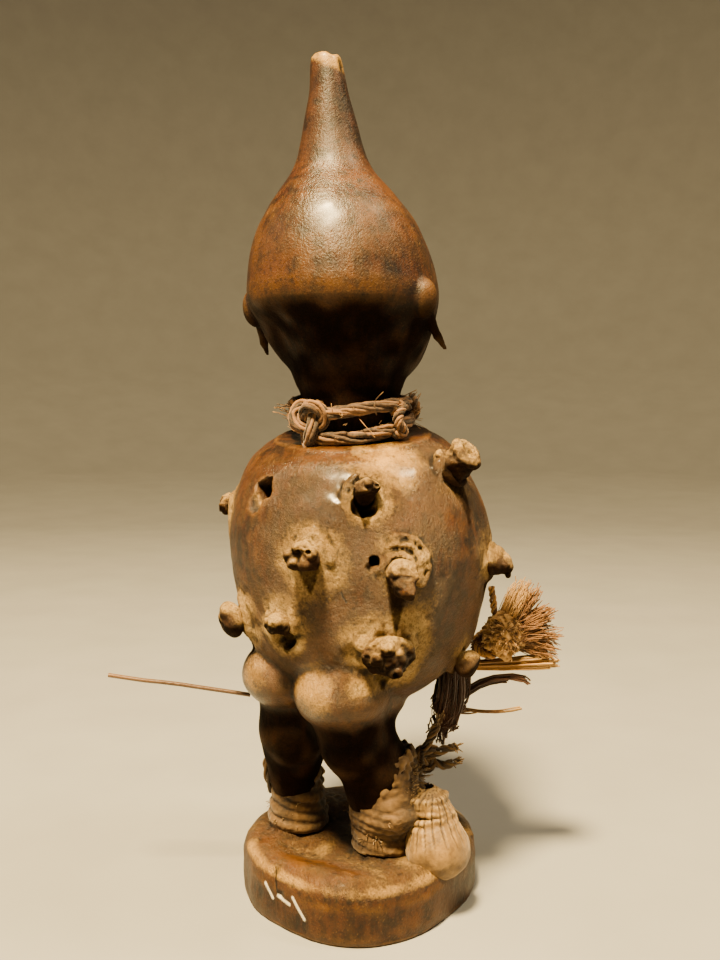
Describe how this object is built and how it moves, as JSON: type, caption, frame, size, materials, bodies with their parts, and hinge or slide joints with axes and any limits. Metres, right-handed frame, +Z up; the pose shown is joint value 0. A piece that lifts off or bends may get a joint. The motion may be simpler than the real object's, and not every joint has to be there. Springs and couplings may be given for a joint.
{
  "type": "kongo power figure",
  "caption": "Carved wooden standing figure with a horned head, a barrel body set with pegs, and fibre bindings at neck, side and ankles, on a low carved base.",
  "frame": {"origin": "middle of the carved base's flat underside", "axes": "+Z up along the standing figure, the face towards -Y, the figure's own right side towards -X"},
  "size_m": [0.1179, 0.1159, 0.285],
  "materials": {
    "carved_wood": "dark oiled and hand-worn, glossy on the high places",
    "peg_wood": "dark, dusty with old crust",
    "fibre_cord": "matt twisted plant fibre",
    "fibre_wrap": "matt frayed plant fibre",
    "pouch_cloth": "matt gathered cloth, dusty",
    "tassel_fibre": "dry pale plant fibre",
    "quill_stalk": "thin dry stalk"
  },
  "bodies": {
    "root": {"figure": "carved_wood", "peg_left_shoulder": "peg_wood", "peg_upper_middle": "peg_wood", "peg_upper_right": "peg_wood", "peg_middle_left": "peg_wood", "peg_centre": "peg_wood", "peg_right": "peg_wood", "peg_left_hip": "peg_wood", "peg_lower_left": "peg_wood", "peg_lower_middle": "peg_wood", "peg_lower_right": "peg_wood", "peg_front_left": "peg_wood", "peg_front_upper": "peg_wood", "peg_front_lower": "peg_wood", "neck_cord": "fibre_cord", "ankle_wrap_left": "fibre_wrap", "ankle_wrap_right": "fibre_wrap", "ankle_pouch": "pouch_cloth", "shin_knot": "fibre_wrap", "side_tassel": "tassel_fibre", "hip_quill": "quill_stalk"}
  },
  "joints": []
}
